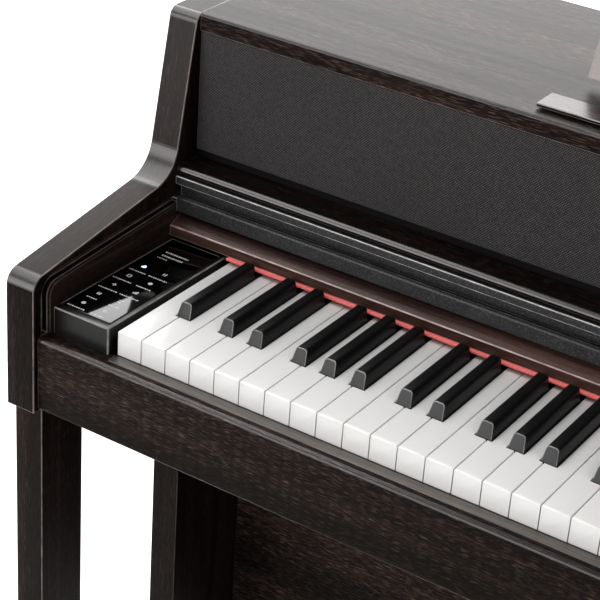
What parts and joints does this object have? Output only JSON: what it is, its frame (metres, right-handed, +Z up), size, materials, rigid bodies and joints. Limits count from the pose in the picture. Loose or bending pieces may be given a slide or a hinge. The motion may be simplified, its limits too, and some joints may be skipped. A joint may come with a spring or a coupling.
{
  "type": "digital piano on stand",
  "caption": "Full-size digital piano in a dark wooden cabinet on a panel stand, with a sliding key cover, folding music desk, cloth-covered speakers and sprung pedals.",
  "frame": {"origin": "on the floor, under the middle of the object's box", "axes": "+X along the keyboard to the treble end, +Y to the back, +Z up; the player sits at -Y"},
  "size_m": [1.4126, 0.455, 1.0924],
  "materials": {
    "rosewood": "satin, dark open-pored rosewood film with fine light pores",
    "rosewood_satin": "satin rosewood, polished smoother than the cabinet",
    "charcoal_paint": "satin charcoal with fine sparkle",
    "charcoal_plastic": "satin moulded",
    "black_plastic": "fine moulded texture",
    "black_board": "matt black paint on fibreboard",
    "panel_glass": "black-backed glass with white icons",
    "white_key": "polished",
    "black_key": "satin",
    "red_felt": "felt",
    "speaker_cloth": "twill grille cloth",
    "speaker_basket": "paper cone in a painted basket",
    "plated_steel": "zinc plated",
    "slip_metal": "satin",
    "pedal_brass": "polished",
    "black_rubber": "matt",
    "circuit_board": "solder mask"
  },
  "bodies": {
    "cabinet": {"left_arm": "rosewood", "right_arm": "rosewood", "left_liner": "rosewood", "right_liner": "rosewood", "key_bed": "rosewood", "front_rail": "rosewood", "key_slip": "slip_metal", "nameboard": "rosewood", "slot_trim": "charcoal_paint", "speaker_ledge": "rosewood", "speaker_baffle": "black_board", "speaker_cloth": "speaker_cloth", "left_speaker": "speaker_basket", "right_speaker": "speaker_basket", "top_board": "rosewood", "back_panel": "black_board", "key_chassis": "plated_steel", "key_pivot_rod": "plated_steel", "red_felt": "red_felt", "control_case": "charcoal_plastic", "touch_panel": "panel_glass", "right_end_case": "charcoal_plastic", "main_board": "circuit_board", "music_ledge": "rosewood_satin", "desk_hinges": "plated_steel", "left_leg": "rosewood", "right_leg": "rosewood", "left_stand_side": "rosewood", "right_stand_side": "rosewood", "left_foot": "rosewood", "right_foot": "rosewood", "kick_board": "rosewood", "pedal_rail": "rosewood", "pedal_box": "black_plastic", "floor_glides": "black_rubber", "headphone_panel": "black_plastic", "rear_socket_plate": "black_plastic", "stand_bolts": "plated_steel"},
    "cover": {"key_cover": "charcoal_paint", "cover_grip": "charcoal_paint"},
    "desk": {"music_desk": "rosewood_satin"},
    "stay": {"desk_stay": "plated_steel"},
    "power_button": {"power_button": "charcoal_plastic"},
    "volume_knob": {"volume_knob": "charcoal_plastic"},
    "left_pedal": {"left_pedal": "pedal_brass"},
    "middle_pedal": {"middle_pedal": "pedal_brass"},
    "right_pedal": {"right_pedal": "pedal_brass"},
    "pedal_jack": {"pedal_jack": "black_rubber"},
    "c_keys": {"c_keys": "white_key"},
    "d_keys": {"d_keys": "white_key"},
    "e_keys": {"e_keys": "white_key"},
    "f_keys": {"f_keys": "white_key"},
    "g_keys": {"g_keys": "white_key"},
    "a_keys": {"a_keys": "white_key"},
    "b_keys": {"b_keys": "white_key"},
    "c_sharp_keys": {"c_sharp_keys": "black_key"},
    "d_sharp_keys": {"d_sharp_keys": "black_key"},
    "f_sharp_keys": {"f_sharp_keys": "black_key"},
    "g_sharp_keys": {"g_sharp_keys": "black_key"},
    "a_sharp_keys": {"a_sharp_keys": "black_key"}
  },
  "joints": [
    {"name": "cover_slide", "type": "slide", "parent": "cabinet", "child": "cover", "axis": [0, -0.9985, -0.0541], "range_m": [0, 0.15]},
    {"name": "desk_fold", "type": "hinge", "parent": "cabinet", "child": "desk", "pos_m": [0, 0.0655, 0.9477], "axis": [-1, 0, 0], "range_deg": [0, 68]},
    {"name": "stay_fold", "type": "hinge", "parent": "cabinet", "child": "stay", "pos_m": [0, 0.1355, 0.9415], "axis": [-1, 0, 0], "range_deg": [0, 136]},
    {"name": "power_press", "type": "slide", "parent": "cabinet", "child": "power_button", "axis": [0, 0, -1], "range_m": [0, 0.0025], "stiffness_N_per_m": 300, "springref_m": -0.003},
    {"name": "volume_turn", "type": "hinge", "parent": "cabinet", "child": "volume_knob", "pos_m": [0.64605, -0.1425, 0.752], "axis": [0, 0, 1], "range_deg": [-150, 150]},
    {"name": "jack_screw", "type": "slide", "parent": "cabinet", "child": "pedal_jack", "axis": [0, 0, 1], "range_m": [0, 0.008]},
    {"name": "left_pedal_press", "type": "hinge", "parent": "cabinet", "child": "left_pedal", "pos_m": [-0.062, -0.0205, 0.064], "axis": [1, 0, 0], "range_deg": [0, 5], "stiffness_Nm_per_rad": 9, "springref_deg": -5.73},
    {"name": "middle_pedal_press", "type": "hinge", "parent": "cabinet", "child": "middle_pedal", "pos_m": [0, -0.0205, 0.064], "axis": [1, 0, 0], "range_deg": [0, 5], "stiffness_Nm_per_rad": 9, "springref_deg": -5.73},
    {"name": "right_pedal_press", "type": "hinge", "parent": "cabinet", "child": "right_pedal", "pos_m": [0.062, -0.0205, 0.064], "axis": [1, 0, 0], "range_deg": [0, 5], "stiffness_Nm_per_rad": 9, "springref_deg": -5.73},
    {"name": "c_key_press", "type": "hinge", "parent": "cabinet", "child": "c_keys", "pos_m": [0, 0.0295, 0.73], "axis": [1, 0, 0], "range_deg": [0, 2.45], "stiffness_Nm_per_rad": 7, "springref_deg": -8.59},
    {"name": "d_key_press", "type": "hinge", "parent": "cabinet", "child": "d_keys", "pos_m": [0, 0.0295, 0.73], "axis": [1, 0, 0], "range_deg": [0, 2.45], "stiffness_Nm_per_rad": 7, "springref_deg": -8.59},
    {"name": "e_key_press", "type": "hinge", "parent": "cabinet", "child": "e_keys", "pos_m": [0, 0.0295, 0.73], "axis": [1, 0, 0], "range_deg": [0, 2.45], "stiffness_Nm_per_rad": 7, "springref_deg": -8.59},
    {"name": "f_key_press", "type": "hinge", "parent": "cabinet", "child": "f_keys", "pos_m": [0, 0.0295, 0.73], "axis": [1, 0, 0], "range_deg": [0, 2.45], "stiffness_Nm_per_rad": 7, "springref_deg": -8.59},
    {"name": "g_key_press", "type": "hinge", "parent": "cabinet", "child": "g_keys", "pos_m": [0, 0.0295, 0.73], "axis": [1, 0, 0], "range_deg": [0, 2.45], "stiffness_Nm_per_rad": 7, "springref_deg": -8.59},
    {"name": "a_key_press", "type": "hinge", "parent": "cabinet", "child": "a_keys", "pos_m": [0, 0.0295, 0.73], "axis": [1, 0, 0], "range_deg": [0, 2.45], "stiffness_Nm_per_rad": 7, "springref_deg": -8.59},
    {"name": "b_key_press", "type": "hinge", "parent": "cabinet", "child": "b_keys", "pos_m": [0, 0.0295, 0.73], "axis": [1, 0, 0], "range_deg": [0, 2.45], "stiffness_Nm_per_rad": 7, "springref_deg": -8.59},
    {"name": "c_sharp_key_press", "type": "hinge", "parent": "cabinet", "child": "c_sharp_keys", "pos_m": [0, 0.0295, 0.73], "axis": [1, 0, 0], "range_deg": [0, 2.45], "stiffness_Nm_per_rad": 7, "springref_deg": -8.59},
    {"name": "d_sharp_key_press", "type": "hinge", "parent": "cabinet", "child": "d_sharp_keys", "pos_m": [0, 0.0295, 0.73], "axis": [1, 0, 0], "range_deg": [0, 2.45], "stiffness_Nm_per_rad": 7, "springref_deg": -8.59},
    {"name": "f_sharp_key_press", "type": "hinge", "parent": "cabinet", "child": "f_sharp_keys", "pos_m": [0, 0.0295, 0.73], "axis": [1, 0, 0], "range_deg": [0, 2.45], "stiffness_Nm_per_rad": 7, "springref_deg": -8.59},
    {"name": "g_sharp_key_press", "type": "hinge", "parent": "cabinet", "child": "g_sharp_keys", "pos_m": [0, 0.0295, 0.73], "axis": [1, 0, 0], "range_deg": [0, 2.45], "stiffness_Nm_per_rad": 7, "springref_deg": -8.59},
    {"name": "a_sharp_key_press", "type": "hinge", "parent": "cabinet", "child": "a_sharp_keys", "pos_m": [0, 0.0295, 0.73], "axis": [1, 0, 0], "range_deg": [0, 2.45], "stiffness_Nm_per_rad": 7, "springref_deg": -8.59}
  ],
  "couplings": [
    {"joint": "stay_fold", "follows": "desk_fold", "ratio": 2}
  ]
}
